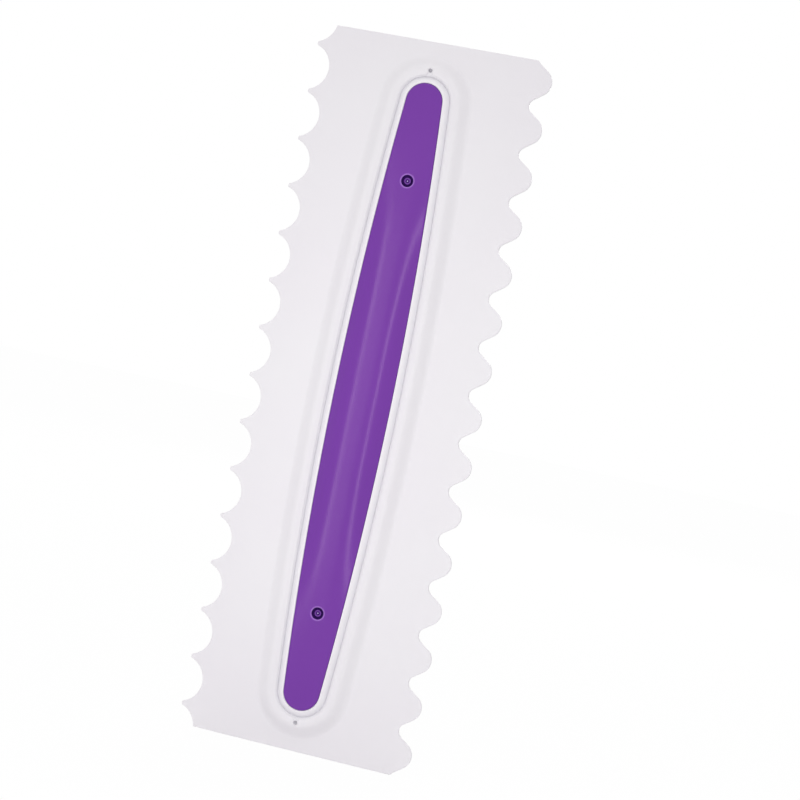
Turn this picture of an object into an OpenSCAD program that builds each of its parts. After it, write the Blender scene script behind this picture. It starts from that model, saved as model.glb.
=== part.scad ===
// Icing smoother: a tall decorating comb with two patterned edges and a pinned grip on each face.
// It stands on one straight end with its length along Z. The front grip faces -Y, the scalloped
// edge is at -X and the waved edge at +X. The origin is the middle of the end that it stands on.

/* [Blade] */
// Length of the blade, from one straight end to the other
blade_length = 228.6; // [225:0.1:320]
// Width of the blade, from the scallop tips to the wave crests
blade_width = 76.2; // [68:0.1:110]
// Thickness of the blade between its tapers
blade_thickness = 2.4; // [1.8:0.1:4]
// Thickness left at the patterned edges
edge_thickness = 1.2; // [0.8:0.1:1.6]
// Width of the taper behind each patterned edge
taper_width = 12; // [8:0.5:14]

/* [Patterned edges] */
// Spacing of the scallop tips, and of the wave crests
pattern_pitch = 15.39; // [14:0.01:20]
// Least distance from a straight end to the first tip and crest
least_end_margin = 4; // [2:0.1:6]
// Depth of a scallop
scallop_depth = 5.3; // [3:0.1:6.4]
// Width of the flat on a scallop tip
scallop_tip = 1.1; // [0.4:0.1:2]
// Depth of a wave, from crest to valley
wave_depth = 5.7; // [4.5:0.1:8]
// Radius of a wave crest
crest_radius = 4.5; // [3:0.1:5.2]
// Radius of a wave valley
valley_radius = 2.5; // [1:0.1:3.1]

/* [Grip outline] */
// Length of the coloured pad
grip_length = 201.7; // [180:0.1:205]
// Width of the coloured pad at its middle
grip_width = 18.8; // [15:0.1:26]
// Radius of the pad's round ends
grip_end_radius = 5.85; // [4.5:0.05:6.8]

/* [Boss around the grip] */
// Width of the raised surround, from the pad's outline to its foot
boss_reach = 9.3; // [8:0.1:10]
// Distance from the pad's outline to the boss's crest
boss_crest = 4.6; // [4:0.1:5.4]
// Distance from the pad's outline to the pocket wall, at the foot of the groove
pocket_reach = 2.15; // [2:0.05:2.4]
// Width of the lip that falls from the boss into the groove
lip_width = 0.85; // [0.5:0.05:1]
// Drop of that lip
lip_drop = 0.6; // [0.3:0.05:0.7]
// Height of the boss above the blade
boss_height = 2.2; // [1.6:0.1:4]
// Radius of the round notch beyond each end of the pocket
notch_radius = 0.95; // [0.7:0.05:1.2]
// Distance from the pad's outline to the centre of each notch
notch_reach = 3.5; // [3.2:0.05:3.6]
// Depth of each notch below the boss's crest
notch_depth = 0.8; // [0.5:0.05:1]

/* [Carrier under the pad] */
// Width of the rim's level top around the pad
rim_crest = 0.45; // [0.4:0.05:0.8]
// Height of the rim above the blade
rim_height = 2.1; // [2:0.1:4]
// Thickness of the carrier at the foot of the groove, where its slope ends
flange_thickness = 1.3; // [0.8:0.1:1.5]
// Thickness of the carrier's floor under the pad
floor_thickness = 1; // [0.8:0.1:1.3]
// Chamfer on the rim's inner edge
rim_chamfer = 0.2; // [0.1:0.05:0.3]

/* [Pad] */
// Height of the pad's edge above the rim
pad_proud = 0.3; // [0.1:0.1:1]
// Extra height of the pad's crown at its middle
crown_height = 2; // [0.5:0.1:5]
// Length of the crowned stretch
crown_length = 168; // [100:1:175]
// Length of the crown's level top
crown_flat_length = 20; // [10:1:80]
// Width of the crown's level top
crown_flat_width = 5; // [4:0.5:9]
// Width of the bevel along the pad's upper edge
pad_bevel = 0.5; // [0.2:0.1:0.8]

/* [Pins] */
// Distance from each end of the pad to its pin
pin_inset = 31.35; // [20:0.05:50]
// Diameter of a pin's shank
shank_diameter = 1.9; // [1.5:0.1:2.1]
// Diameter of a pin's head
head_diameter = 2.5; // [2.4:0.1:3]
// Thickness of a pin's head
head_thickness = 0.7; // [0.5:0.1:0.9]
// Diameter of the dimple in a pin's head
dimple_diameter = 0.8; // [0.5:0.1:1.2]
// Diameter of the counterbore in the pad
counterbore_diameter = 3.6; // [3.4:0.1:5]
// Thickness of the pad left under the counterbore
seat_thickness = 0.4; // [0.3:0.1:0.6]

/* [Fits] */
// Clearance between the pad and the carrier's rim
pad_clearance = 0.05; // [0:0.01:0.1]
// Clearance between the carrier's flange and the pocket
pocket_clearance = 0.05; // [0.03:0.01:0.1]
// Radial clearance of a pin in its bores
pin_clearance = 0.05; // [0.03:0.01:0.1]

/* [Hidden] */

// How far a cut runs past the surface that it opens
past = 1;
$fn = 48;

// Blade levels, as distances from the blade's middle plane
blade_face = blade_thickness / 2;
edge_face = edge_thickness / 2;

// Patterned edges
tip_count = floor((blade_length - 2 * least_end_margin) / pattern_pitch) + 1;
first_tip = (blade_length - (tip_count - 1) * pattern_pitch) / 2;
scallop_chord = pattern_pitch - scallop_tip;
scallop_radius = (pow(scallop_chord / 2, 2) + pow(scallop_depth, 2)) / (2 * scallop_depth);
scallop_angle = asin(scallop_chord / 2 / scallop_radius);
scallop_steps = 14;
// A crest and the next valley are two circles joined by the straight line that touches both
wave_rise = wave_depth - crest_radius - valley_radius;
wave_run = pattern_pitch / 2;
wave_angle = asin((crest_radius + valley_radius) / norm([wave_run, wave_rise])) + atan2(wave_rise, wave_run);
crest_steps = 12;
valley_steps = 8;

// Grip outline: two long arcs that run into the round ends
grip_half = grip_length / 2;
end_centre = grip_half - grip_end_radius;
side_radius = (pow(grip_width / 2, 2) - pow(grip_end_radius, 2) + pow(end_centre, 2))
    / (grip_width - 2 * grip_end_radius);
side_centre = side_radius - grip_width / 2;
side_angle = atan2(end_centre, side_centre);
side_steps = 24;
end_steps = 12;

// Boss levels
boss_root = blade_face / 2;
flank_steps = 7;
flank_start = 0.12;
lip_steps = 4;
land_dip = 0.25;
notch_floor = blade_face + boss_height - notch_depth;

// Carrier levels
flange_top = blade_face + flange_thickness;
tray_floor = blade_face + floor_thickness;
rim_top = blade_face + rim_height;
flange_reach = pocket_reach - pocket_clearance;
slope_steps = 4;

// Pad levels
pad_edge = rim_top + pad_proud;
// The pad has broad, plain facets, so that the tool lies steady on its crown
pad_side_steps = 8;
pad_end_steps = 10;
shoulder_steps = 3;
level_steps = 1;
least_share = 0.06;

// Pin levels
pin_spacing = grip_length - 2 * pin_inset;
pin_seat = tray_floor + seat_thickness;
pin_top = pin_seat + head_thickness;
bore_diameter = shank_diameter + 2 * pin_clearance;
head_edge = 0.2;
dimple_depth = 0.3;

// Points of an arc, from one angle up to but not including the other
function arc(centre, radius, from, to, steps) =
    [for (i = [0:steps - 1]) let (a = from + (to - from) * i / steps) centre + radius * [cos(a), sin(a)]];

// One scallop between two tips, from top to bottom
function scallop(middle) = arc(
    [-blade_width / 2 + scallop_depth - scallop_radius, middle], scallop_radius,
    scallop_angle, -scallop_angle, scallop_steps
);

// The lower end of a scallop, where the flat of the next tip begins
function scallop_end(middle) = [[-blade_width / 2, middle - scallop_chord / 2]];

// One crest and the valley above it, from bottom to top
function wave(crest) = concat(
    arc([blade_width / 2 - crest_radius, crest], crest_radius, -wave_angle, wave_angle, crest_steps),
    [[blade_width / 2 - crest_radius, crest] + crest_radius * [cos(wave_angle), sin(wave_angle)]],
    arc(
        [blade_width / 2 - wave_depth + valley_radius, crest + wave_run], valley_radius,
        180 + wave_angle, 180 - wave_angle, valley_steps
    ),
    [[blade_width / 2 - wave_depth + valley_radius, crest + wave_run]
        + valley_radius * [-cos(wave_angle), sin(wave_angle)]]
);

// Outline of the pad grown by reach, anticlockwise as seen from the front
function grip_ring(reach, sides = side_steps, ends = end_steps) = let (
    half = concat(
        arc([-side_centre, 0], side_radius + reach, -side_angle, side_angle, sides),
        arc([0, end_centre], grip_end_radius + reach, side_angle, 180 - side_angle, ends)
    )
) concat(half, [for (p = half) -p]);

// The same ring with the pad's own facets
function pad_ring(reach) = grip_ring(reach, pad_side_steps, pad_end_steps);

// A ring of outline points at one level in front of the blade's middle plane
function at_level(ring, level) = [for (p = ring) [p[0], -level, p[1]]];

// Share of the crown's full height at a distance along the grip: level, then falling away
function crown_along(along) = let (
    fall = (abs(along) - crown_flat_length / 2) / (crown_length - crown_flat_length) * 2
) (1 + cos(180 * max(0, min(1, fall)))) / 2;

// Share of it from the level top's edge, where across is 0, to the pad's edge, where it is 1
function crown_across(across) = 1 - pow(max(0, across), 2);

// The pad's top, drawn in towards its long axis by share and raised by the crown
function crown_ring(share) = let (level = crown_flat_width / grip_width) [
    for (p = pad_ring(-pad_clearance - pad_bevel))
        let (
            axis = [0, max(-end_centre, min(end_centre, p[1]))],
            q = axis + share * (p - axis),
            rise = crown_along(q[1]) * crown_across((share - level) / (1 - level))
        )
            [q[0], -pad_edge - crown_height * rise, q[1]]
];

// Shares at which the crown is drawn: down its shoulder, then across its level top
function crown_shares() = let (level = crown_flat_width / grip_width) concat(
    [for (i = [0:shoulder_steps]) 1 - (1 - level) * i / shoulder_steps],
    [for (i = [1:level_steps]) level - (level - least_share) * i / level_steps]
);

// Two triangles between neighbouring points of rings a and b, each of so many points
function band(a, b, points) = [
    for (i = [0:points - 1]) let (j = (i + 1) % points)
        each [[a + i, b + i, b + j], [a + i, b + j, a + j]]
];

// A solid between stacked rings, closed flat at its first ring and by top_faces at its last
module ring_stack(rings, top_faces) {
    count = len(rings);
    points = len(rings[0]);
    last = (count - 1) * points;
    polyhedron(
        points = [for (ring = rings) each ring],
        faces = concat(
            [[for (i = [0:points - 1]) i]],
            [for (k = [0:count - 2]) each band(k * points, (k + 1) * points, points)],
            [for (f = top_faces) [for (i = f) last + i]]
        ),
        convexity = 6
    );
}

// A solid ring whose section is the closed loop of the given rings
module ring_loop(rings) {
    count = len(rings);
    points = len(rings[0]);
    polyhedron(
        points = [for (ring = rings) each ring],
        faces = [
            for (k = [0:count - 1]) each band(k * points, (k + 1) % count * points, points)
        ],
        convexity = 6
    );
}

// Places a grip piece, drawn about the middle of the blade, at the blade's mid-height
module at_grip() {
    translate([0, 0, blade_length / 2]) children();
}

// A cylinder along Y between two levels in front of the blade's middle plane
module cross_cylinder(diameter, from, to) {
    translate([0, -from, 0]) rotate([90, 0, 0]) cylinder(d = diameter, h = to - from);
}

module at_pins() {
    for (side = [-1, 1]) translate([0, 0, side * pin_spacing / 2]) children();
}

module at_notches() {
    for (side = [-1, 1]) translate([0, 0, side * (grip_half + notch_reach)]) children();
}

// Both patterned edges, run one pitch past each end of the blade
module pattern_outline() {
    polygon(concat(
        [for (i = [-2:tip_count]) each wave(first_tip + i * pattern_pitch)],
        [
            for (i = [tip_count:-1:-1])
                let (middle = first_tip + (i - 0.5) * pattern_pitch)
                    each concat(scallop(middle), scallop_end(middle))
        ]
    ));
}

// The blade's section: even in the middle, thinner towards both patterned edges
module blade_section() {
    slope = (blade_face - edge_face) / taper_width;
    inner = blade_width / 2 - taper_width;
    outer = blade_width / 2 + past;
    outer_face = edge_face - slope * past;
    polygon([
        [-outer, -outer_face], [-inner, -blade_face], [inner, -blade_face], [outer, -outer_face],
        [outer, outer_face], [inner, blade_face], [-inner, blade_face], [-outer, outer_face]
    ]);
}

module blade_plate() {
    intersection() {
        rotate([90, 0, 0]) linear_extrude(blade_thickness + 2 * past, center = true) pattern_outline();
        linear_extrude(blade_length) blade_section();
    }
}

// The raised surround on one face, open in the middle as the pocket for the carrier
module boss() {
    flank = [
        for (i = [0:flank_steps])
            let (
                share = flank_start + (1 - flank_start) * i / flank_steps,
                reach = boss_reach + (boss_crest - boss_reach) * share
            )
                at_level(grip_ring(reach), blade_face + boss_height * (1 - cos(180 * share)) / 2)
    ];
    foot_reach = boss_reach + (boss_crest - boss_reach) * flank_start;
    lip = [
        for (i = [0:lip_steps])
            let (share = i / lip_steps)
                at_level(
                    grip_ring(pocket_reach + lip_width * (1 - share)),
                    blade_face + boss_height - land_dip - lip_drop * (1 - cos(180 * share)) / 2
                )
    ];
    ring_loop(concat(
        [at_level(grip_ring(foot_reach), boss_root)],
        flank,
        lip,
        [at_level(grip_ring(pocket_reach), boss_root)]
    ));
}

module comb_blade() {
    color("ghostwhite") difference() {
        union() {
            blade_plate();
            at_grip() {
                boss();
                mirror([0, 1, 0]) boss();
            }
        }
        at_grip() {
            at_pins() cross_cylinder(bore_diameter, -blade_face - past, blade_face + past);
            at_notches() {
                cross_cylinder(2 * notch_radius, notch_floor, blade_face + boss_height + past);
                mirror([0, 1, 0])
                    cross_cylinder(2 * notch_radius, notch_floor, blade_face + boss_height + past);
            }
        }
    }
}

// White tray that holds a pad: a rim that slopes from the pad's edge into the groove, and a floor
module carrier() {
    slope = [
        for (i = [0:slope_steps])
            let (share = i / slope_steps)
                at_level(
                    grip_ring(flange_reach + (rim_crest - flange_reach) * share),
                    flange_top + (rim_top - flange_top) * (1 - cos(180 * share)) / 2
                )
    ];
    color("white") difference() {
        ring_stack(
            concat(
                [at_level(grip_ring(flange_reach), blade_face)],
                slope,
                [
                    at_level(grip_ring(rim_chamfer), rim_top),
                    at_level(grip_ring(0), rim_top - rim_chamfer),
                    at_level(grip_ring(0), tray_floor)
                ]
            ),
            [[for (i = [2 * (side_steps + end_steps) - 1:-1:0]) i]]
        );
        at_pins() cross_cylinder(bore_diameter, blade_face - past, tray_floor + past);
    }
}

// Coloured pad: level at its ends, crowned over its middle, with a counterbore for each pin
module pad() {
    half = pad_side_steps + pad_end_steps;
    opposite = half + pad_side_steps;
    color([0.48, 0.28, 0.64]) difference() {
        ring_stack(
            concat(
                [
                    at_level(pad_ring(-pad_clearance), tray_floor),
                    at_level(pad_ring(-pad_clearance), pad_edge - pad_bevel)
                ],
                [for (share = crown_shares()) crown_ring(share)]
            ),
            concat(
                [
                    for (i = [0:pad_side_steps - 1])
                        each [[i, opposite - i, opposite - i - 1], [i, opposite - i - 1, i + 1]]
                ],
                [[for (i = [half:-1:pad_side_steps]) i]],
                [[for (i = [2 * half:-1:opposite]) i % (2 * half)]]
            )
        );
        at_pins() {
            cross_cylinder(bore_diameter, tray_floor - past, pin_seat + past);
            cross_cylinder(counterbore_diameter, pin_seat, pad_edge + crown_height + past);
        }
    }
}

// Pin that clamps both grips to the blade: a shank with a dimpled head at each end
module pin() {
    head_radius = head_diameter / 2;
    shank_radius = shank_diameter / 2;
    dimple_radius = dimple_diameter / 2;
    color([0.42, 0.25, 0.58]) rotate([90, 0, 0]) rotate_extrude() polygon([
        [0, -pin_top + dimple_depth], [dimple_radius, -pin_top],
        [head_radius - head_edge, -pin_top], [head_radius, -pin_top + head_edge],
        [head_radius, -pin_seat], [shank_radius, -pin_seat],
        [shank_radius, pin_seat], [head_radius, pin_seat],
        [head_radius, pin_top - head_edge], [head_radius - head_edge, pin_top],
        [dimple_radius, pin_top], [0, pin_top - dimple_depth]
    ]);
}

module front_carrier() {
    at_grip() carrier();
}

module rear_carrier() {
    at_grip() mirror([0, 1, 0]) carrier();
}

module front_pad() {
    at_grip() pad();
}

module rear_pad() {
    at_grip() mirror([0, 1, 0]) pad();
}

module upper_pin() {
    at_grip() translate([0, 0, pin_spacing / 2]) pin();
}

module lower_pin() {
    at_grip() translate([0, 0, -pin_spacing / 2]) pin();
}

comb_blade();
front_carrier();
rear_carrier();
front_pad();
rear_pad();
upper_pin();
lower_pin();
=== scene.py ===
"""Icing smoother: a tall white comb with two patterned edges and a purple grip pinned on each face.

Lengths are in millimetres until they reach Blender, which works in metres. "Level" is the distance
out of the blade's middle plane, "reach" the distance outwards from the pad's outline.
"""

import math

import bmesh
import bpy
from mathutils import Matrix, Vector

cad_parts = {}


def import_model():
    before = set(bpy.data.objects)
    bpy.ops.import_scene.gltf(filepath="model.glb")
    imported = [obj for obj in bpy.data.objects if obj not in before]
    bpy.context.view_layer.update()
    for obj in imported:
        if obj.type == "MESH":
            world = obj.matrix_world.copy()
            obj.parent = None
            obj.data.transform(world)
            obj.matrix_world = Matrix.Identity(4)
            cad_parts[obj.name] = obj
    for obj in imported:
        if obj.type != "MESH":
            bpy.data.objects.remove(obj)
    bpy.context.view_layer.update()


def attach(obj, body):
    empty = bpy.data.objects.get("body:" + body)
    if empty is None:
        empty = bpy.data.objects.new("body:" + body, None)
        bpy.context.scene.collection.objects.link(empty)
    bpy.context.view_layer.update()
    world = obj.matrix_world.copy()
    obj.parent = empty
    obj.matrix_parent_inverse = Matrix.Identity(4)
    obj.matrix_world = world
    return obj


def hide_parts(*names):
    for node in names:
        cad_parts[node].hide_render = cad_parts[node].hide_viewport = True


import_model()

MM = 0.001

# Blade
BLADE_LENGTH = 228.6
BLADE_WIDTH = 76.2
BLADE_FACE = 1.2
EDGE_FACE = 0.6
TAPER_WIDTH = 12
TAPER_BLEND = 5
RIM_SOFTNESS = 0.22
RIM_ANGLE = 36

# Patterned edges
PITCH = 15.39
TIP_COUNT = 15
SCALLOP_DEPTH = 5.3
SCALLOP_TIP = 1.1
WAVE_DEPTH = 5.7
CREST_RADIUS = 4.5
VALLEY_RADIUS = 2.5

# Grip outline
GRIP_LENGTH = 201.7
GRIP_WIDTH = 18.8
GRIP_END_RADIUS = 5.85

# Boss and pocket
BOSS_REACH = 9.3
BOSS_CREST = 4.6
BOSS_HEIGHT = 2.2
BOSS_ROOT = 0.6
FLANK_FOOT = 0.05
POCKET_REACH = 2.15
POCKET_FLOOR = 1.15
LAND_DIP = 0.25
LIP_WIDTH = 0.85
GROOVE_FLOOR = 2.15
NOTCH_RADIUS = 0.62
NOTCH_REACH = 4.05
NOTCH_FLOOR = 2.3
NECK_REACH = 2.7
NECK_RADIUS = 1
NECK_FLOOR = 2.6
NOTCH_MOUTH = 0.3

# Carrier
TRAY_FLOOR = 2.2
FLANGE_REACH = 2.13
RIM_TOP = 3.3
RIM_CREST = 0.45
RIM_ROUND = 0.2
SLOPE_STRAIGHT, SLOPE_CURVED = 0.55, 0.45

# Pad
PAD_CLEARANCE = 0.05
PAD_EDGE = 3.6
PAD_ROUND = 0.5
CROWN_HEIGHT = 2
CROWN_LENGTH = 168
CROWN_FLAT_LENGTH = 20
CROWN_FLAT_WIDTH = 5
CROWN_COLUMNS = 16
CROWN_MARGIN = 3
ROW_GAP = 0.1
LEAST_CROWN = 1e-5

# Pins
PIN_SPACING = 139
SHANK_RADIUS = 0.95
HEAD_RADIUS = 1.25
COUNTERBORE_RADIUS = 1.88
COUNTERBORE_LIP = 0.3
BORE_FLARE = 0.05
RECESS_HIGHLIGHT_REACH = 2.6
PIN_SEAT = 2.6
PIN_TOP = 3.3
BUTTON_RADIUS = 0.36
DIMPLE_RADIUS = 0.58
FACE_RADIUS = 1.1

# How far a second material reaches past, or stops short of, the line where it ends
HAIR = 0.01
FOOT_MARGIN = 0.1

# How finely curves are drawn: edges and taper first, then the grip
SCALLOP_STEPS = 24
CREST_STEPS = 20
VALLEY_STEPS = 14
TAPER_STEPS = 10
RIM_SEGMENTS = 3
SIDE_STEPS = 96
END_STEPS = 32
FLANK_STEPS = 14
ROUND_STEPS = 4
LIP_STEPS = 8
SLOPE_STEPS = 12
TURN_STEPS = 48
SMOOTH_ANGLE = 32

# Points nearer than these are one: where a pen's ends meet, and in a finished solid
JOIN_DISTANCE = 0.01
SEAL_DISTANCE = 0.002

# A difference below SAME is none; a point over RAISED metres above the pad's edge is raised
SAME = 1e-6
RAISED = 1e-7

MIDDLE = BLADE_LENGTH / 2
GRIP_HALF = GRIP_LENGTH / 2
END_CENTRE = GRIP_HALF - GRIP_END_RADIUS
SIDE_RADIUS = ((GRIP_WIDTH / 2) ** 2 - GRIP_END_RADIUS**2 + END_CENTRE**2) / (
    GRIP_WIDTH - 2 * GRIP_END_RADIUS
)
SIDE_CENTRE = SIDE_RADIUS - GRIP_WIDTH / 2
SIDE_ANGLE = math.degrees(math.atan2(END_CENTRE, SIDE_CENTRE))


def at(across, level, up):
    """A point in metres: across the blade, out of its front face, and up."""
    return Vector((across, -level, up)) * MM


# ---------------------------------------------------------------- pen, extrude and cut


def open_piece(name):
    """A new, empty mesh object at the origin, in edit mode."""
    bpy.ops.object.select_all(action="DESELECT")
    bpy.ops.mesh.primitive_plane_add(size=MM, location=(0, 0, 0))
    piece = bpy.context.object
    piece.name = piece.data.name = name
    bpy.ops.object.mode_set(mode="EDIT")
    bpy.ops.mesh.select_all(action="SELECT")
    bpy.ops.mesh.delete(type="VERT")
    return piece


def close_piece():
    """Leaves edit mode."""
    bpy.ops.mesh.select_mode(type="VERT")
    bpy.ops.object.mode_set(mode="OBJECT")


def pick(piece, kind, test):
    """Selects the vertices, edges or faces that pass a test, and nothing else."""
    bpy.ops.mesh.select_mode(type={"verts": "VERT", "edges": "EDGE", "faces": "FACE"}[kind])
    bpy.ops.mesh.select_all(action="DESELECT")
    mesh = bmesh.from_edit_mesh(piece.data)
    chosen = [part for part in getattr(mesh, kind) if test(part)]
    for part in chosen:
        part.select_set(True)
    mesh.select_flush(True)
    bmesh.update_edit_mesh(piece.data)


def pen_down(point):
    """One vertex at a point: a small plane merged at its centre."""
    bpy.ops.mesh.select_mode(type="VERT")
    bpy.ops.mesh.select_all(action="DESELECT")
    bpy.ops.mesh.primitive_plane_add(size=MM, location=point)
    bpy.ops.mesh.merge(type="CENTER")


def pen_line(across, level, up):
    """Draws a straight edge from the pen by an offset."""
    bpy.ops.mesh.extrude_vertices_move(
        TRANSFORM_OT_translate={"value": at(across, level, up)}
    )


def pen_arc(centre, angle, steps):
    """Carries the pen round a centre, anticlockwise as seen from the front."""
    bpy.ops.mesh.spin(
        steps=steps, angle=math.radians(angle), center=centre, axis=(0, 1, 0)
    )


def close_outline(piece):
    """Joins the pen's ends and fills the outline, facing the front."""
    bpy.ops.mesh.select_all(action="SELECT")
    bpy.ops.mesh.remove_doubles(threshold=JOIN_DISTANCE * MM)
    bpy.ops.mesh.select_all(action="SELECT")
    bpy.ops.mesh.edge_face_add()
    mesh = bmesh.from_edit_mesh(piece.data)
    mesh.faces.ensure_lookup_table()
    if mesh.faces[0].normal.y > 0:
        bpy.ops.mesh.flip_normals()


def draw_grip_outline(piece, reach, level):
    """The pad's outline grown by reach: two long arcs that run into the round ends."""
    side, end = SIDE_RADIUS + reach, GRIP_END_RADIUS + reach
    turn = math.radians(SIDE_ANGLE)
    pen_down(at(side * math.cos(turn) - SIDE_CENTRE, level, MIDDLE - side * math.sin(turn)))
    pen_arc(at(-SIDE_CENTRE, level, MIDDLE), 2 * SIDE_ANGLE, SIDE_STEPS)
    pen_arc(at(0, level, MIDDLE + END_CENTRE), 180 - 2 * SIDE_ANGLE, END_STEPS)
    pen_arc(at(SIDE_CENTRE, level, MIDDLE), 2 * SIDE_ANGLE, SIDE_STEPS)
    pen_arc(at(0, level, MIDDLE - END_CENTRE), 180 - 2 * SIDE_ANGLE, END_STEPS)
    close_outline(piece)


def raise_outline(piece, profile):
    """Carries a grip outline through a profile of (reach, level) steps, by extrudes and insets."""
    draw_grip_outline(piece, *profile[0])
    bpy.ops.mesh.select_mode(type="FACE")
    for k in range(1, len(profile)):
        (reach, level), (last_reach, last_level) = profile[k], profile[k - 1]
        step_in = last_reach - reach
        if k == 1 or abs(step_in) < SAME:
            bpy.ops.mesh.extrude_region_move(
                TRANSFORM_OT_translate={"value": at(0, level - last_level, 0)}
            )
        if abs(step_in) > SAME:
            bpy.ops.mesh.inset(
                thickness=step_in * MM,
                depth=(0 if k == 1 else level - last_level) * MM,
                use_even_offset=True,
            )


def seal(piece):
    """Merges doubles and points every face outwards."""
    bpy.ops.mesh.select_mode(type="VERT")
    bpy.ops.mesh.select_all(action="SELECT")
    bpy.ops.mesh.remove_doubles(threshold=SEAL_DISTANCE * MM)
    bpy.ops.mesh.normals_make_consistent(inside=False)


def apply_modifier(piece, kind, **settings):
    """Adds a modifier with its settings and applies it."""
    bpy.context.view_layer.objects.active = piece
    modifier = piece.modifiers.new(kind.lower(), kind)
    for key, value in settings.items():
        setattr(modifier, key, value)
    bpy.ops.object.modifier_apply(modifier=modifier.name)


def combine(piece, other, operation):
    """Joins, cuts or trims a piece by another, which is used up."""
    apply_modifier(piece, "BOOLEAN", object=other, operation=operation, solver="EXACT")
    bpy.data.objects.remove(other)


def copy_of(piece, name):
    """A second object with its own mesh."""
    bpy.ops.object.select_all(action="DESELECT")
    piece.select_set(True)
    bpy.context.view_layer.objects.active = piece
    bpy.ops.object.duplicate()
    twin = bpy.context.object
    twin.name = twin.data.name = name
    return twin


def rear_copy(piece, name):
    """The same piece on the other face, mirrored in the blade's middle plane."""
    twin = copy_of(piece, name)
    bpy.ops.object.mode_set(mode="EDIT")
    bpy.ops.mesh.select_all(action="SELECT")
    bpy.ops.transform.resize(value=(1, -1, 1), center_override=(0, 0, 0))
    seal(twin)
    close_piece()
    return twin


def turned_solid(name, profile, up):
    """A solid turned about an axis along Y, from (radius, level) points between two axis points."""
    piece = open_piece(name)
    pen_down(at(profile[0][0], profile[0][1], up))
    for (r0, l0), (r1, l1) in zip(profile, profile[1:]):
        pen_line(r1 - r0, l1 - l0, 0)
    bpy.ops.mesh.select_all(action="SELECT")
    bpy.ops.mesh.spin(
        steps=TURN_STEPS, angle=2 * math.pi, center=at(0, 0, up), axis=(0, 1, 0)
    )
    seal(piece)
    close_piece()
    return piece


def smooth(piece):
    """Shades a finished piece smooth, with its flat faces kept flat."""
    bpy.ops.object.select_all(action="DESELECT")
    piece.select_set(True)
    bpy.context.view_layer.objects.active = piece
    bpy.ops.object.shade_smooth_by_angle(angle=math.radians(SMOOTH_ANGLE))
    apply_modifier(piece, "WEIGHTED_NORMAL", mode="FACE_AREA", keep_sharp=True)


# ---------------------------------------------------------------- blade


def draw_pattern_units():
    """One scallop with its tip at -X and one wave at +X, each from one pitch to the next."""
    first_tip = (BLADE_LENGTH - (TIP_COUNT - 1) * PITCH) / 2 - PITCH
    chord = PITCH - SCALLOP_TIP
    radius = ((chord / 2) ** 2 + SCALLOP_DEPTH**2) / (2 * SCALLOP_DEPTH)
    bow = math.degrees(math.asin(chord / 2 / radius))
    pen_down(at(-BLADE_WIDTH / 2, 0, first_tip - SCALLOP_TIP / 2))
    pen_line(0, 0, SCALLOP_TIP)
    pen_arc(
        at(-BLADE_WIDTH / 2 + SCALLOP_DEPTH - radius, 0, first_tip + PITCH / 2),
        2 * bow,
        SCALLOP_STEPS,
    )

    rise, run = WAVE_DEPTH - CREST_RADIUS - VALLEY_RADIUS, PITCH / 2
    lean = math.asin((CREST_RADIUS + VALLEY_RADIUS) / math.hypot(run, rise)) + math.atan2(
        rise, run
    )
    crest = (BLADE_WIDTH / 2 - CREST_RADIUS, first_tip)
    valley = (BLADE_WIDTH / 2 - WAVE_DEPTH + VALLEY_RADIUS, first_tip + run)
    reach_out, reach_up = math.cos(lean), math.sin(lean)
    start = (crest[0] + CREST_RADIUS * reach_out, crest[1] - CREST_RADIUS * reach_up)
    pen_down(at(start[0], 0, start[1]))
    pen_arc(at(crest[0], 0, crest[1]), 2 * math.degrees(lean), CREST_STEPS)
    pen_line(
        valley[0] - VALLEY_RADIUS * reach_out - crest[0] - CREST_RADIUS * reach_out,
        0,
        valley[1] - VALLEY_RADIUS * reach_up - crest[1] - CREST_RADIUS * reach_up,
    )
    pen_arc(at(valley[0], 0, valley[1]), -2 * math.degrees(lean), VALLEY_STEPS)
    pen_line(
        start[0] - valley[0] + VALLEY_RADIUS * reach_out,
        0,
        start[1] + PITCH - valley[1] - VALLEY_RADIUS * reach_up,
    )


def blade_level(across):
    """Half the blade's thickness at a distance from its long middle line."""
    slope = (BLADE_FACE - EDGE_FACE) / TAPER_WIDTH
    fall = abs(across) - (BLADE_WIDTH / 2 - TAPER_WIDTH)
    if fall < -TAPER_BLEND:
        return BLADE_FACE
    if fall > TAPER_BLEND:
        return BLADE_FACE - slope * fall
    return BLADE_FACE - slope * (fall + TAPER_BLEND) ** 2 / (4 * TAPER_BLEND)


def blade_section_bar():
    """A bar with the blade's section: level in the middle, thinner towards both sides."""
    bar = open_piece("section_bar")
    past = 2
    inner = BLADE_WIDTH / 2 - TAPER_WIDTH
    stations = [BLADE_WIDTH / 2 + past] + [
        inner + TAPER_BLEND * (1 - 2 * i / TAPER_STEPS) for i in range(TAPER_STEPS + 1)
    ]
    stations = [-across for across in stations] + stations[::-1]
    path = [(across, blade_level(across)) for across in stations]
    path += [(across, -level) for across, level in reversed(path)] + path[:1]
    pen_down(at(*path[0], -past))
    for (a0, l0), (a1, l1) in zip(path, path[1:]):
        pen_line(a1 - a0, l1 - l0, 0)
    close_outline(bar)
    bpy.ops.mesh.extrude_region_move(
        TRANSFORM_OT_translate={"value": at(0, 0, BLADE_LENGTH + 2 * past)}
    )
    seal(bar)
    close_piece()
    return bar


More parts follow.
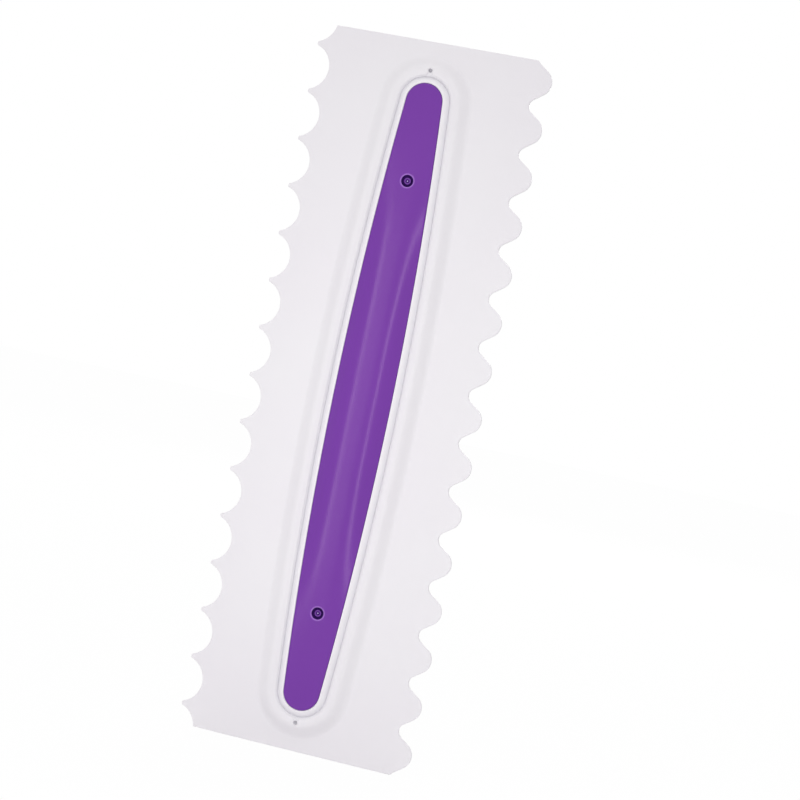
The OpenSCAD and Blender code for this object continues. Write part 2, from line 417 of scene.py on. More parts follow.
def plate():
    """The flat blade with both patterned edges."""
    piece = open_piece("comb_blade_moulding")
    draw_pattern_units()
    close_piece()
    apply_modifier(
        piece,
        "ARRAY",
        count=TIP_COUNT + 2,
        use_relative_offset=False,
        use_constant_offset=True,
        constant_offset_displace=at(0, 0, PITCH),
        use_merge_vertices=True,
        merge_threshold=JOIN_DISTANCE * MM,
    )
    bpy.ops.object.mode_set(mode="EDIT")
    for below in (True, False):
        pick(
            piece,
            "verts",
            lambda v: len(v.link_edges) == 1 and (v.co.z < MIDDLE * MM) == below,
        )
        bpy.ops.mesh.edge_face_add()
    close_outline(piece)
    past = 1
    bpy.ops.mesh.select_all(action="SELECT")
    bpy.ops.transform.translate(value=at(0, -BLADE_FACE - past, 0))
    bpy.ops.mesh.extrude_region_move(
        TRANSFORM_OT_translate={"value": at(0, 2 * (BLADE_FACE + past), 0)}
    )
    for end, facing in ((0, -1), (BLADE_LENGTH, 1)):
        bpy.ops.mesh.select_all(action="SELECT")
        bpy.ops.mesh.bisect(
            plane_co=at(0, 0, end), plane_no=(0, 0, facing), use_fill=True, clear_outer=True
        )
    seal(piece)
    close_piece()
    combine(piece, blade_section_bar(), "INTERSECT")
    apply_modifier(
        piece,
        "BEVEL",
        width=RIM_SOFTNESS * MM,
        segments=RIM_SEGMENTS,
        limit_method="ANGLE",
        angle_limit=math.radians(RIM_ANGLE),
        use_clamp_overlap=False,
    )
    return piece


def boss_profile():
    """Up the soft flank, over the crest, and down the pocket's wall."""
    flank = []
    for i in range(FLANK_STEPS + 1):
        share = FLANK_FOOT + (1 - FLANK_FOOT) * i / FLANK_STEPS
        flank.append(
            (
                BOSS_REACH + (BOSS_CREST - BOSS_REACH) * share,
                BLADE_FACE + BOSS_HEIGHT * (1 - math.cos(math.pi * share)) / 2,
            )
        )
    land_top = BLADE_FACE + BOSS_HEIGHT - LAND_DIP
    land_edge = POCKET_REACH + LIP_WIDTH
    land = [
        (
            BOSS_CREST + (land_edge - BOSS_CREST) * t,
            BLADE_FACE + BOSS_HEIGHT - LAND_DIP * t * t,
        )
        for t in (0.25, 0.5, 0.75)
    ]
    drop = land_top - GROOVE_FLOOR
    lip = [
        (
            land_edge - LIP_WIDTH * i / LIP_STEPS,
            land_top - drop * (1 - math.cos(math.pi / 2 * i / LIP_STEPS)),
        )
        for i in range(LIP_STEPS + 1)
    ]
    return (
        [(flank[0][0], BOSS_ROOT)] + flank + land + lip + [(POCKET_REACH, POCKET_FLOOR)]
    )


def drilled_bowl(radius, floor):
    """A round-bottomed drill with a soft mouth, as (radius, level) points."""
    crest = BLADE_FACE + BOSS_HEIGHT
    return [
        (0, floor),
        (radius * 0.5, floor + 0.02),
        (radius * 0.75, floor + 0.1),
        (radius - 0.1, floor + 0.24),
        (radius - 0.03, floor + 0.42),
        (radius + 0.03, crest - 0.26),
        (radius + 0.12, crest - 0.12),
        (radius + 0.28, crest - 0.02),
        (radius + 0.5, crest + 0.06),
        (radius + 0.5, crest + 0.8),
        (0, crest + 0.8),
    ]


def comb_blade():
    """The blade with a boss, a pocket and two notches on each face."""
    piece = plate()
    front = open_piece("front_boss")
    raise_outline(front, boss_profile())
    seal(front)
    close_piece()
    rear = rear_copy(front, "rear_boss")
    combine(piece, front, "UNION")
    combine(piece, rear, "UNION")
    for reach, radius, floor in (
        (NECK_REACH, NECK_RADIUS, NECK_FLOOR),
        (NOTCH_REACH, NOTCH_RADIUS, NOTCH_FLOOR),
    ):
        for end in (1, -1):
            for side in (-1, 1):
                drill = turned_solid(
                    "notch_drill",
                    [(r, side * level) for r, level in drilled_bowl(radius, floor)],
                    MIDDLE + end * (GRIP_HALF + reach),
                )
                combine(piece, drill, "DIFFERENCE")
    smooth(piece)
    return piece


# ---------------------------------------------------------------- carrier


def carrier_profile():
    """Out of the pocket up the groove's slope, over the rim, and down the wall of the tray."""
    rise = RIM_TOP - GROOVE_FLOOR
    slope = [
        (
            FLANGE_REACH + (RIM_CREST - FLANGE_REACH) * i / SLOPE_STEPS,
            GROOVE_FLOOR
            + rise
            * (
                SLOPE_STRAIGHT * i / SLOPE_STEPS
                + SLOPE_CURVED * math.sin(math.pi / 2 * i / SLOPE_STEPS)
            ),
        )
        for i in range(SLOPE_STEPS + 1)
    ]
    rim = [
        (
            RIM_ROUND - RIM_ROUND * math.sin(math.pi / 2 * i / ROUND_STEPS),
            RIM_TOP - RIM_ROUND * (1 - math.cos(math.pi / 2 * i / ROUND_STEPS)),
        )
        for i in range(ROUND_STEPS + 1)
    ]
    return [(FLANGE_REACH, BLADE_FACE)] + slope + rim + [(0, TRAY_FLOOR)]


def front_carrier():
    """The tray that the pad lies in, with its rim and the groove's inner slope."""
    piece = open_piece("front_carrier_tray")
    raise_outline(piece, carrier_profile())
    seal(piece)
    close_piece()
    smooth(piece)
    return piece


# ---------------------------------------------------------------- pad


def half_width(along):
    """Half the width of the pad's grid at a distance along the grip."""
    radius = SIDE_RADIUS - PAD_CLEARANCE - PAD_ROUND
    return math.sqrt(radius**2 - along**2) - SIDE_CENTRE


def crown_along(along):
    """Share of the crown's height along the grip: level in the middle, then falling away."""
    fall = (abs(along) - CROWN_FLAT_LENGTH / 2) / (CROWN_LENGTH - CROWN_FLAT_LENGTH) * 2
    return (1 + math.cos(math.pi * max(0.0, min(1.0, fall)))) / 2


def crown_across(share):
    """Share of the crown's height across the grip: level in the middle, then falling away."""
    level = CROWN_FLAT_WIDTH / GRIP_WIDTH
    return 1 - max(0.0, (share - level) / (1 - level)) ** 2


def pad_profile():
    """Up the pad's wall and over its rounded edge."""
    outer = -PAD_CLEARANCE
    edge = [
        (
            outer - PAD_ROUND * (1 - math.cos(math.pi / 2 * i / ROUND_STEPS)),
            PAD_EDGE - PAD_ROUND * (1 - math.sin(math.pi / 2 * i / ROUND_STEPS)),
        )
        for i in range(ROUND_STEPS + 1)
    ]
    return [(outer, TRAY_FLOOR)] + edge


def front_pad():
    """The lens-shaped pad: level at its ends, crowned over its middle, with two recesses."""
    piece = open_piece("front_pad_crowned")
    raise_outline(piece, pad_profile())
    seal(piece)

    # The level top becomes a grid between the two long rails, and a flat face at each end
    top = -PAD_EDGE * MM
    reach_of_grid = CROWN_LENGTH / 2 + CROWN_MARGIN
    pick(piece, "faces", lambda f: all(abs(v.co.y - top) < SAME for v in f.verts))
    bpy.ops.mesh.delete(type="ONLY_FACE")
    pick(
        piece,
        "edges",
        lambda e: all(
            abs(v.co.y - top) < SAME and abs(v.co.z / MM - MIDDLE) < reach_of_grid
            for v in e.verts
        ),
    )
    bpy.ops.mesh.bridge_edge_loops(number_cuts=CROWN_COLUMNS - 1, interpolation="LINEAR")
    for end in (-1, 1):
        pick(
            piece,
            "edges",
            lambda e: e.is_boundary and (e.verts[0].co.z / MM - MIDDLE) * end > 0,
        )
        bpy.ops.mesh.edge_face_add()

    # Columns are raised to the crown's section, then rows are pressed down to its long curve
    def share_of(v):
        return abs(v.co.x) / MM / half_width(v.co.z / MM - MIDDLE)

    def on_grid(v):
        return v.co.y < top + SAME and abs(v.co.z / MM - MIDDLE) < reach_of_grid

    for column in range(CROWN_COLUMNS // 2):
        share = 2 * column / CROWN_COLUMNS
        pick(
            piece,
            "verts",
            lambda v: on_grid(v) and abs(share_of(v) - share) < 0.5 / CROWN_COLUMNS,
        )
        bpy.ops.transform.translate(value=at(0, CROWN_HEIGHT * crown_across(share), 0))
    mesh = bmesh.from_edit_mesh(piece.data)
    rows = [-1.0]
    for up in sorted(v.co.z / MM for v in mesh.verts if on_grid(v)):
        if up - rows[-1] > ROW_GAP:
            rows.append(up)
    for up in rows[1:]:
        pick(
            piece,
            "verts",
            lambda v: v.co.y < top - RAISED and abs(v.co.z / MM - up) < ROW_GAP / 2,
        )
        bpy.ops.transform.resize(
            value=(1, max(crown_along(up - MIDDLE), LEAST_CROWN), 1),
            center_override=at(0, PAD_EDGE, up),
        )
    seal(piece)
    close_piece()

    surface = PAD_EDGE + CROWN_HEIGHT * crown_along(PIN_SPACING / 2)
    lip_radius = COUNTERBORE_RADIUS + COUNTERBORE_LIP
    counterbore = [
        (0, PIN_SEAT),
        (COUNTERBORE_RADIUS, PIN_SEAT),
        (COUNTERBORE_RADIUS, surface - 0.3),
        (COUNTERBORE_RADIUS + BORE_FLARE, surface - 0.15),
        (COUNTERBORE_RADIUS + 0.16, surface - 0.04),
        (lip_radius, surface + 0.02),
        (lip_radius, surface + 2),
        (0, surface + 2),
    ]
    for side in (-1, 1):
        drill = turned_solid("counterbore", counterbore, MIDDLE + side * PIN_SPACING / 2)
        combine(piece, drill, "DIFFERENCE")
    smooth(piece)
    return piece


# ---------------------------------------------------------------- pins


def pin_half():
    """From the head's centre out to the shank, as (radius, level) points."""
    return [
        (0, PIN_TOP - 0.1),
        (0.12, PIN_TOP - 0.12),
        (0.24, PIN_TOP - 0.18),
        (BUTTON_RADIUS, PIN_TOP - 0.3),
        (0.46, PIN_TOP - 0.34),
        (DIMPLE_RADIUS, PIN_TOP - 0.26),
        (0.66, PIN_TOP - 0.1),
        (0.76, PIN_TOP - 0.02),
        (0.86, PIN_TOP),
        (0.98, PIN_TOP - 0.03),
        (FACE_RADIUS, PIN_TOP - 0.12),
        (1.16, PIN_TOP - 0.26),
        (1.22, PIN_TOP - 0.34),
        (HEAD_RADIUS, PIN_TOP - 0.42),
        (HEAD_RADIUS, PIN_SEAT),
        (SHANK_RADIUS, PIN_SEAT),
    ]


def pin(name, up):
    """A pin with a dimpled head at each end."""
    half = pin_half()
    piece = turned_solid(name, half + [(r, -level) for r, level in reversed(half)], up)
    smooth(piece)
    return piece


# ---------------------------------------------------------------- materials


# Sockets of a colour Mix node
MIX_A, MIX_B, MIX_COLOR = 6, 7, 2


def node_of(tree, kind, **settings):
    """A new node with its settings, and its sockets' values under inputs."""
    made = tree.nodes.new(kind)
    for key, value in settings.items():
        if key == "inputs":
            for name, number in value.items():
                made.inputs[name].default_value = number
        else:
            setattr(made, key, value)
    return made


def link(tree, source, output, target, socket):
    """Joins two nodes, by their sockets' names or numbers."""
    tree.links.new(source.outputs[output], target.inputs[socket])


def new_group(name, inputs, outputs):
    """A node group with named inputs, each with a kind and a value, and named outputs."""
    tree = bpy.data.node_groups.new(name, "ShaderNodeTree")
    for label, kind, value in inputs:
        socket = tree.interface.new_socket(label, in_out="INPUT", socket_type=kind)
        if value is not None:
            socket.default_value = value
    for label, kind in outputs:
        tree.interface.new_socket(label, in_out="OUTPUT", socket_type=kind)
    return tree, tree.nodes.new("NodeGroupInput"), tree.nodes.new("NodeGroupOutput")


def moulded_skin_group():
    """The skin of moulded plastic: a fine spark-eroded grain over slow waves in the surface."""
    tree, entry, exit_ = new_group(
        "moulded_skin",
        [
            ("Vector", "NodeSocketVector", None),
            ("Grain Scale", "NodeSocketFloat", 2600.0),
            ("Grain Share", "NodeSocketFloat", 0.5),
            ("Wave Scale", "NodeSocketFloat", 45.0),
        ],
        [("Height", "NodeSocketFloat"), ("Dullness", "NodeSocketFloat")],
    )
    grain = node_of(tree, "ShaderNodeTexNoise", inputs={"Detail": 3.0, "Roughness": 0.6})
    wave = node_of(tree, "ShaderNodeTexNoise", inputs={"Detail": 2.0, "Roughness": 0.45})
    blend = node_of(tree, "ShaderNodeMix", data_type="FLOAT")
    link(tree, entry, "Vector", grain, "Vector")
    link(tree, entry, "Grain Scale", grain, "Scale")
    link(tree, entry, "Vector", wave, "Vector")
    link(tree, entry, "Wave Scale", wave, "Scale")
    link(tree, entry, "Grain Share", blend, "Factor")
    link(tree, wave, "Fac", blend, "A")
    link(tree, grain, "Fac", blend, "B")
    link(tree, blend, "Result", exit_, "Height")
    link(tree, wave, "Fac", exit_, "Dullness")
    return tree


def tint_drift_group():
    """A base colour that drifts slowly towards a second one, as pigment does in a moulding."""
    tree, entry, exit_ = new_group(
        "tint_drift",
        [
            ("Vector", "NodeSocketVector", None),
            ("Base", "NodeSocketColor", (0.8, 0.8, 0.8, 1)),
            ("Drift", "NodeSocketColor", (0.8, 0.8, 0.8, 1)),
            ("Scale", "NodeSocketFloat", 18.0),
        ],
        [("Color", "NodeSocketColor")],
    )
    cloud = node_of(tree, "ShaderNodeTexNoise", inputs={"Detail": 2.0, "Roughness": 0.5})
    spread = node_of(
        tree,
        "ShaderNodeMapRange",
        interpolation_type="SMOOTHERSTEP",
        inputs={"From Min": 0.2, "From Max": 0.8},
    )
    blend = node_of(tree, "ShaderNodeMix", data_type="RGBA")
    link(tree, entry, "Vector", cloud, "Vector")
    link(tree, entry, "Scale", cloud, "Scale")
    link(tree, cloud, "Fac", spread, "Value")
    link(tree, spread, "Result", blend, "Factor")
    link(tree, entry, "Base", blend, MIX_A)
    link(tree, entry, "Drift", blend, MIX_B)
    link(tree, blend, MIX_COLOR, exit_, "Color")
    return tree


def rubbed_marks_group():
    """Where use has rubbed the skin: thin scuffs that run along the tool, in patches."""
    tree, entry, exit_ = new_group(
        "rubbed_marks",
        [
            ("Vector", "NodeSocketVector", None),
            ("Scuff Scale", "NodeSocketFloat", 900.0),
            ("Patch Scale", "NodeSocketFloat", 30.0),
        ],
        [("Marks", "NodeSocketFloat")],
    )
    stretch = node_of(tree, "ShaderNodeMapping", inputs={"Scale": (1.0, 1.0, 0.05)})
    scuff = node_of(tree, "ShaderNodeTexNoise", inputs={"Detail": 1.0, "Roughness": 0.5})
    thin = node_of(
        tree,
        "ShaderNodeMapRange",
        interpolation_type="SMOOTHERSTEP",
        inputs={"From Min": 0.56, "From Max": 0.8},
    )
    patch = node_of(tree, "ShaderNodeTexNoise", inputs={"Detail": 1.0, "Roughness": 0.5})
    some = node_of(
        tree,
        "ShaderNodeMapRange",
        interpolation_type="SMOOTHERSTEP",
        inputs={"From Min": 0.4, "From Max": 0.75},
    )
    both = node_of(tree, "ShaderNodeMath", operation="MULTIPLY")
    link(tree, entry, "Vector", stretch, "Vector")
    link(tree, stretch, "Vector", scuff, "Vector")
    link(tree, entry, "Scuff Scale", scuff, "Scale")
    link(tree, scuff, "Fac", thin, "Value")
    link(tree, entry, "Vector", patch, "Vector")
    link(tree, entry, "Patch Scale", patch, "Scale")
    link(tree, patch, "Fac", some, "Value")
    link(tree, thin, "Result", both, 0)
    link(tree, some, "Result", both, 1)
    link(tree, both, "Value", exit_, "Marks")
    return tree


def hollow_depth_group():
    """0 at a hollow's mouth and 1 at its foot, by the distance from the blade's middle plane: the
    mask for painted shade in the groove and notches.
    """
    tree, entry, exit_ = new_group(
        "hollow_depth",
        [
            ("Vector", "NodeSocketVector", None),
            ("Mouth", "NodeSocketFloat", RIM_TOP * MM),
            ("Foot", "NodeSocketFloat", GROOVE_FLOOR * MM),
        ],
        [("Depth", "NodeSocketFloat")],
    )
    parts = node_of(tree, "ShaderNodeSeparateXYZ")
    level = node_of(tree, "ShaderNodeMath", operation="ABSOLUTE")
    depth = node_of(tree, "ShaderNodeMapRange")
    link(tree, entry, "Vector", parts, "Vector")
    link(tree, parts, "Y", level, 0)
    link(tree, level, "Value", depth, "Value")
    link(tree, entry, "Mouth", depth, "From Min")
    link(tree, entry, "Foot", depth, "From Max")
    link(tree, depth, "Result", exit_, "Depth")
    return tree


def recess_highlight_group():
    """1 at the mouths of the two pin recesses, fading to 0 a little way outside them: the mask for
    a painted highlight.
    """
    tree, entry, exit_ = new_group(
        "recess_painted_highlight",
        [
            ("Vector", "NodeSocketVector", None),
            ("Middle", "NodeSocketFloat", MIDDLE * MM),
            ("Pin Height", "NodeSocketFloat", PIN_SPACING / 2 * MM),
            ("Outer", "NodeSocketFloat", RECESS_HIGHLIGHT_REACH * MM),
            ("Inner", "NodeSocketFloat", COUNTERBORE_RADIUS * MM),
        ],
        [("Highlight", "NodeSocketFloat")],
    )
    parts = node_of(tree, "ShaderNodeSeparateXYZ")
    along = node_of(tree, "ShaderNodeMath", operation="SUBTRACT")
    folded = node_of(tree, "ShaderNodeMath", operation="ABSOLUTE")
    from_axis = node_of(tree, "ShaderNodeMath", operation="SUBTRACT")
    flat = node_of(tree, "ShaderNodeCombineXYZ")
    distance = node_of(tree, "ShaderNodeVectorMath", operation="LENGTH")
    highlight = node_of(tree, "ShaderNodeMapRange", interpolation_type="SMOOTHSTEP")
    link(tree, entry, "Vector", parts, "Vector")
    link(tree, parts, "Z", along, 0)
    link(tree, entry, "Middle", along, 1)
    link(tree, along, "Value", folded, 0)
    link(tree, folded, "Value", from_axis, 0)
    link(tree, entry, "Pin Height", from_axis, 1)
    link(tree, parts, "X", flat, "X")
    link(tree, from_axis, "Value", flat, "Y")
    link(tree, flat, "Vector", distance, 0)
    link(tree, distance, "Value", highlight, "Value")
    link(tree, entry, "Outer", highlight, "From Min")
    link(tree, entry, "Inner", highlight, "From Max")
    link(tree, highlight, "Result", exit_, "Highlight")
    return tree


PLASTIC_IOR = 1.49
RUBBED_DULLNESS = 0.04
GROUPS = {
    "recess": recess_highlight_group(),
    "depth": hollow_depth_group(),
    "skin": moulded_skin_group(),
    "tint": tint_drift_group(),
    "marks": rubbed_marks_group(),
}


def moulded_plastic(
    name,
    base,
    drift,
    roughness,
    dullness,
    bump,
    gloss=0.5,
    gloss_tint=(1, 1, 1),
    mask=None,
    second=None,
):
    """A moulded plastic: drifting tint, grain and waves in the skin, and rubbed marks.

    The mask names a group that blends in a second colour, which is painted light: "depth" for
    painted shade towards the foot of a hollow, "recess" for a painted highlight round the pin
    recesses' mouths.
    """
    material = bpy.data.materials.new(name)
    material.use_nodes = True
    tree = material.node_tree
    shader = tree.nodes["Principled BSDF"]
    shader.inputs["IOR"].default_value = PLASTIC_IOR
    shader.inputs["Specular IOR Level"].default_value = gloss
    shader.inputs["Specular Tint"].default_value = (*gloss_tint, 1)
    place = node_of(tree, "ShaderNodeTexCoord")

    tint = node_of(tree, "ShaderNodeGroup", node_tree=GROUPS["tint"])
    tint.inputs["Base"].default_value = (*base, 1)
    tint.inputs["Drift"].default_value = (*drift, 1)
    link(tree, place, "Object", tint, "Vector")
    if mask is None:
        link(tree, tint, "Color", shader, "Base Color")
    else:
        where = node_of(tree, "ShaderNodeGroup", node_tree=GROUPS[mask])
        link(tree, place, "Object", where, "Vector")
        # Painted light: the second colour is painted shade or a painted highlight, placed by the
        # mask
        painted_light = node_of(tree, "ShaderNodeMix", data_type="RGBA")
        link(tree, where, 0, painted_light, "Factor")
        link(tree, tint, "Color", painted_light, MIX_A)
        painted_light.inputs[MIX_B].default_value = (*second, 1)
        link(tree, painted_light, MIX_COLOR, shader, "Base Color")

    skin = node_of(tree, "ShaderNodeGroup", node_tree=GROUPS["skin"])
    link(tree, place, "Object", skin, "Vector")
    relief = node_of(
        tree, "ShaderNodeBump", inputs={"Strength": 0.6, "Distance": bump * MM}
    )
    link(tree, skin, "Height", relief, "Height")
    link(tree, relief, "Normal", shader, "Normal")

    marks = node_of(tree, "ShaderNodeGroup", node_tree=GROUPS["marks"])
    link(tree, place, "Object", marks, "Vector")
    dull = node_of(
        tree,
        "ShaderNodeMapRange",
        clamp=False,
        inputs={
            "From Min": 0.3,
            "From Max": 0.7,
            "To Min": roughness - dullness,
            "To Max": roughness + dullness,
        },
    )
    link(tree, skin, "Dullness", dull, "Value")
    rub = node_of(
        tree, "ShaderNodeMath", operation="MULTIPLY_ADD", inputs={1: RUBBED_DULLNESS}
    )
    link(tree, marks, "Marks", rub, 0)
    link(tree, dull, "Result", rub, 2)
    link(tree, rub, "Value", shader, "Roughness")
    return material


WHITE_BASE, WHITE_DRIFT = (0.84, 0.81, 0.85), (0.85, 0.83, 0.86)
# Painted shade: a greyer white towards the foot of the groove round the grip
GROOVE_SHADE_COLOUR = (0.8, 0.785, 0.825)

WHITE = moulded_plastic(
    "white_satin_plastic", WHITE_BASE, WHITE_DRIFT, roughness=0.38, dullness=0.04, bump=0.02
)
# The blade's lip and neck faces, with painted shade deepening towards the groove's foot
SHADED_GROOVE_WHITE = moulded_plastic(
    "white_groove_painted_shade",
    WHITE_BASE,
    WHITE_DRIFT,
    roughness=0.4,
    dullness=0.04,
    bump=0.02,
    mask="depth",
    second=GROOVE_SHADE_COLOUR,
)
# The notches, with dark grey painted shade deepening towards each notch's floor
SHADED_NOTCH_WHITE = moulded_plastic(
    "white_notch_painted_shade",
    WHITE_BASE,
    WHITE_DRIFT,
    roughness=0.4,
    dullness=0.04,
    bump=0.02,
    mask="depth",
    second=(0.5, 0.49, 0.53),
)
# The carrier, with painted shade deepening down its slope into the groove
RIM_WHITE = moulded_plastic(
    "white_rim_plastic",
    (0.9, 0.87, 0.91),
    (0.91, 0.89, 0.92),
    roughness=0.36,
    dullness=0.04,
    bump=0.015,
    mask="depth",
    second=GROOVE_SHADE_COLOUR,
)
# The pad, with a pale purple painted highlight round the mouths of the pin recesses
PURPLE = moulded_plastic(
    "purple_soft_gloss_plastic",
    (0.157, 0.026, 0.346),
    (0.166, 0.028, 0.36),
    roughness=0.2,
    dullness=0.015,
    bump=0.02,
    gloss_tint=(1, 0.78, 0.95),
    mask="recess",
    second=(0.42, 0.2, 0.68),
)
# Painted highlight: a pale purple ring on the rounded lip of each pin recess
LIP_HIGHLIGHT_PURPLE = moulded_plastic(
    "purple_lip_painted_highlight",
    (0.36, 0.15, 0.6),
    (0.33, 0.13, 0.57),
    roughness=0.34,
    dullness=0.03,
    bump=0.01,
)
# Painted shade: near-black purple in the recesses, on the pin heads' outer edges and in their
# dimples
BORE_SHADE_PURPLE = moulded_plastic(
    "purple_bore_painted_shade",
    (0.035, 0.003, 0.125),
    (0.04, 0.004, 0.135),
    roughness=0.5,
    dullness=0.04,
    bump=0.01,
    gloss=0.1,
)
PIN_PURPLE = moulded_plastic(
    "purple_pin_plastic",
    (0.15, 0.03, 0.33),
    (0.16, 0.034, 0.35),
    roughness=0.34,
    dullness=0.03,
    bump=0.01,
)
# Painted highlight: a pale glint on the little dome in the middle of each pin head
BUTTON_HIGHLIGHT_PURPLE = moulded_plastic(
    "purple_button_painted_highlight",
    (0.5, 0.34, 0.72),
    (0.46, 0.3, 0.68),
    roughness=0.2,
    dullness=0.02,
    bump=0.005,
)


# ---------------------------------------------------------------- the tool


def dress(piece, material, slot, *nodes):
    """Gives a finished piece its material and its place in the frame."""
    piece.data.materials.clear()
    piece.data.materials.append(material)
    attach(piece, "root")
    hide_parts(*nodes)
    return piece


def paint(piece, material, belongs):
    """Puts a second material on the faces whose corners all belong to a part of the piece."""
    piece.data.materials.append(material)
    index = len(piece.data.materials) - 1
    corners = [v.co / MM for v in piece.data.vertices]
    for face in piece.data.polygons:
        if all(belongs(corners[k].x, abs(corners[k].y), corners[k].z) for k in face.vertices):
            face.material_index = index


def reach_at(across, up):
    """Reach of a point outside the pad's outline, negative inside it."""
    along = abs(up - MIDDLE)
    if along > (abs(across) + SIDE_CENTRE) * math.tan(math.radians(SIDE_ANGLE)):
        return math.hypot(across, along - END_CENTRE) - GRIP_END_RADIUS
    return math.hypot(abs(across) + SIDE_CENTRE, along) - SIDE_RADIUS


def from_notch(across, up, reach):
    """Distance from a point beyond the nearer end of the grip."""
    return math.hypot(across, abs(up - MIDDLE) - GRIP_HALF - reach)


def in_groove(across, level, up):
    """The groove round the grip, out to the lip's edge, and its neck towards each notch."""
    return level > GROOVE_FLOOR - FOOT_MARGIN and (
        reach_at(across, up) < POCKET_REACH + LIP_WIDTH + 2 * HAIR
        or from_notch(across, up, NECK_REACH) < NECK_RADIUS + NOTCH_MOUTH
    )


def in_notch(across, level, up):
    """The round notch beyond each end of the grip."""
    return (
        level > GROOVE_FLOOR - FOOT_MARGIN
        and from_notch(across, up, NOTCH_REACH) < NOTCH_RADIUS + NOTCH_MOUTH / 2
    )


def from_pin(across, up):
    """Distance from the nearer pin's axis."""
    return math.hypot(across, abs(up - MIDDLE) - PIN_SPACING / 2)


blade = dress(comb_blade(), WHITE, "blade", "comb_blade")
# Painted shade towards the foot of the groove and its necks
paint(blade, SHADED_GROOVE_WHITE, in_groove)
# Darker painted shade in each notch's bowl
paint(blade, SHADED_NOTCH_WHITE, in_notch)
front_tray = front_carrier()
rear_tray = rear_copy(front_tray, "rear_carrier_tray")
smooth(rear_tray)
dress(front_tray, RIM_WHITE, "carrier", "front_carrier")
dress(rear_tray, RIM_WHITE, "carrier", "rear_carrier")
front_grip = front_pad()
rear_grip = rear_copy(front_grip, "rear_pad_crowned")
smooth(rear_grip)
for grip, node in ((front_grip, "front_pad"), (rear_grip, "rear_pad")):
    dress(grip, PURPLE, "pad", node)
    # A painted highlight on each recess's lip
    paint(
        grip,
        LIP_HIGHLIGHT_PURPLE,
        lambda across, level, up: from_pin(across, up)
        < COUNTERBORE_RADIUS + COUNTERBORE_LIP - 2 * HAIR,
    )
    # Painted shade on the wall and floor of each recess
    paint(
        grip,
        BORE_SHADE_PURPLE,
        lambda across, level, up: from_pin(across, up)
        < COUNTERBORE_RADIUS + BORE_FLARE + HAIR,
    )
for name, side in (("upper_pin", 1), ("lower_pin", -1)):
    peg = pin(name + "_dimpled", MIDDLE + side * PIN_SPACING / 2)
    dress(peg, PIN_PURPLE, "pin", name)
    # Painted shade on the head's outer edge and in its dimple
    paint(
        peg,
        BORE_SHADE_PURPLE,
        lambda across, level, up: from_pin(across, up) > FACE_RADIUS - HAIR
        or from_pin(across, up) < DIMPLE_RADIUS + HAIR,
    )
    # A painted highlight on the dome in the middle of the head
    paint(
        peg,
        BUTTON_HIGHLIGHT_PURPLE,
        lambda across, level, up: from_pin(across, up) < BUTTON_RADIUS - HAIR,
    )


# ---------------------------------------------------------------- floor, world, light, camera


# How bright the room and the floor are, and how much less light comes from both sides
AMBIENT = 0.945
SIDE_SHADE = 0.65
FLOOR_GLOW = 0.97

# The floor and the two tall lamps that draw the streaks on the pad, in metres
FLOOR_SIZE = 6
STRIP_FOOT = 0.014
STRIP = {"distance": 0.2, "width": 0.023, "height": 0.19}


def looked_at(tree):
    """1 where the camera, a reflection or glass sees a surface, and 0 where it only gives light."""
    rays = node_of(tree, "ShaderNodeLightPath")
    either = node_of(tree, "ShaderNodeMath", operation="MAXIMUM")
    link(tree, rays, "Is Camera Ray", either, 0)
    link(tree, rays, "Is Glossy Ray", either, 1)
    seen = node_of(tree, "ShaderNodeMath", operation="MAXIMUM")
    link(tree, either, "Value", seen, 0)
    link(tree, rays, "Is Transmission Ray", seen, 1)
    return seen


def floor():
    """A white floor that keeps a faint shadow of the tool."""
    bpy.ops.object.select_all(action="DESELECT")
    bpy.ops.mesh.primitive_plane_add(size=FLOOR_SIZE, location=(0, 0, 0))
    ground = bpy.context.object
    ground.name = "floor"
    material = bpy.data.materials.new("white_floor")
    material.use_nodes = True
    tree = material.node_tree
    shader = tree.nodes["Principled BSDF"]
    shader.inputs["Base Color"].default_value = (0.9, 0.9, 0.9, 1)
    shader.inputs["Roughness"].default_value = 0.9
    glow = node_of(tree, "ShaderNodeEmission", inputs={"Strength": 1.0})
    share = node_of(tree, "ShaderNodeMath", operation="MULTIPLY", inputs={1: FLOOR_GLOW})
    link(tree, looked_at(tree), "Value", share, 0)
    mix = node_of(tree, "ShaderNodeMixShader")
    link(tree, share, "Value", mix, "Fac")
    link(tree, shader, "BSDF", mix, 1)
    link(tree, glow, "Emission", mix, 2)
    link(tree, mix, "Shader", tree.nodes["Material Output"], "Surface")
    ground.data.materials.append(material)


def world():
    """An even white room that gives less light from both sides than from the front."""
    scene = bpy.context.scene
    scene.world = bpy.data.worlds.new("white_room")
    scene.world.use_nodes = True
    tree = scene.world.node_tree
    background = tree.nodes["Background"]
    background.inputs["Color"].default_value = (1, 1, 1, 1)
    direction = node_of(tree, "ShaderNodeTexCoord")
    parts = node_of(tree, "ShaderNodeSeparateXYZ")
    link(tree, direction, "Generated", parts, "Vector")
    sideways = node_of(tree, "ShaderNodeMath", operation="MULTIPLY")
    link(tree, parts, "X", sideways, 0)
    link(tree, parts, "X", sideways, 1)
    ambient = node_of(
        tree,
        "ShaderNodeMapRange",
        inputs={"To Min": AMBIENT, "To Max": AMBIENT * (1 - SIDE_SHADE)},
    )
    link(tree, sideways, "Value", ambient, "Value")
    strength = node_of(tree, "ShaderNodeMix", data_type="FLOAT", inputs={"B": 1.0})
    link(tree, looked_at(tree), "Value", strength, "Factor")
    link(tree, ambient, "Result", strength, "A")
    link(tree, strength, "Result", background, "Strength")


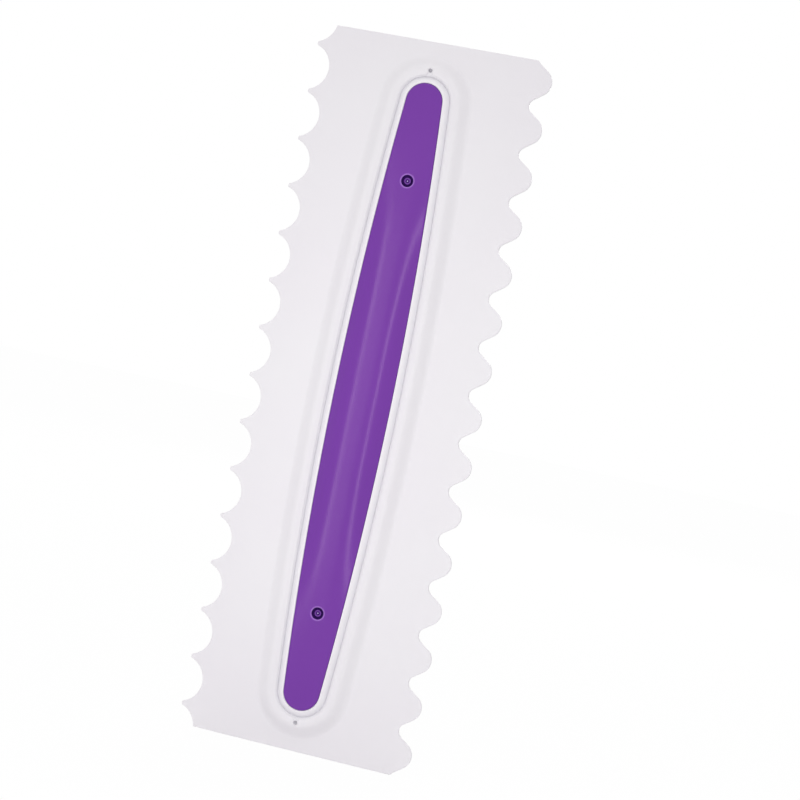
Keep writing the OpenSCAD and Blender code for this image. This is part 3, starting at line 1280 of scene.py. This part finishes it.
def softbox(name, azimuth, elevation, distance, width, height, power):
    """A soft area lamp that looks at the middle of the tool. Distance and size are in metres."""
    a, e = math.radians(azimuth), math.radians(elevation)
    aim = at(0, 0, MIDDLE)
    spot = aim + distance * Vector(
        (math.sin(a) * math.cos(e), -math.cos(a) * math.cos(e), math.sin(e))
    )
    place_lamp(name, spot, aim, width, height, power)


def standing_strip(name, azimuth, distance, width, height, power):
    """A tall, narrow lamp that stands on the floor and faces the tool."""
    a = math.radians(azimuth)
    lift = height / 2 + STRIP_FOOT
    spot = Vector((math.sin(a) * distance, -math.cos(a) * distance, lift))
    place_lamp(name, spot, Vector((0, 0, lift)), width, height, power)


def place_lamp(name, spot, aim, width, height, power):
    """A rectangular area lamp that faces a point."""
    data = bpy.data.lights.new(name, "AREA")
    data.shape, data.size, data.size_y = "RECTANGLE", width, height
    data.energy = power
    lamp = bpy.data.objects.new(name, data)
    lamp.location = spot
    lamp.rotation_euler = (aim - spot).to_track_quat("-Z", "Y").to_euler()
    bpy.context.scene.collection.objects.link(lamp)


standing_strip("strip_left", azimuth=-16, power=0.042, **STRIP)
standing_strip("strip_right", azimuth=13, power=0.038, **STRIP)
softbox(
    "top_box", azimuth=-10, elevation=62, distance=1.2, width=0.6, height=0.5, power=0.8
)
softbox(
    "back_fill", azimuth=180, elevation=25, distance=1.2, width=0.7, height=0.7, power=3
)
floor()
world()


def camera():
    """The photograph's view: slightly from the right, level, and rolled."""
    distance, azimuth, elevation, roll = 552.1, 10.621, 1.2, 11.74
    focal_px, frame_px, sensor_width = 1743.17, 800, 36
    a, e, r = math.radians(azimuth), math.radians(elevation), math.radians(roll)
    centre = Vector((0, 0, MIDDLE))
    eye = centre + distance * Vector(
        (math.sin(a) * math.cos(e), -math.cos(a) * math.cos(e), math.sin(e))
    )
    aim_offset = Vector((11.319, 0, 1.682))
    target = centre + aim_offset
    forward = (target - eye).normalized()
    right = forward.cross(Vector((0, 0, 1))).normalized()
    up = right.cross(forward)
    tilted_right = right * math.cos(r) + up * math.sin(r)
    tilted_up = up * math.cos(r) - right * math.sin(r)
    data = bpy.data.cameras.new("photo_view")
    data.sensor_width = data.sensor_height = sensor_width
    data.sensor_fit = "HORIZONTAL"
    data.lens = focal_px / frame_px * sensor_width
    data.clip_start, data.clip_end = 0.01, 50
    view = bpy.data.objects.new("photo_view", data)
    bpy.context.scene.collection.objects.link(view)
    turn = view.matrix_world.to_3x3()
    turn.col[0], turn.col[1], turn.col[2] = tilted_right, tilted_up, -forward
    view.matrix_world = turn.to_4x4()
    view.location = eye * MM
    bpy.context.scene.camera = view


camera()
bpy.context.scene.view_settings.view_transform = "Standard"
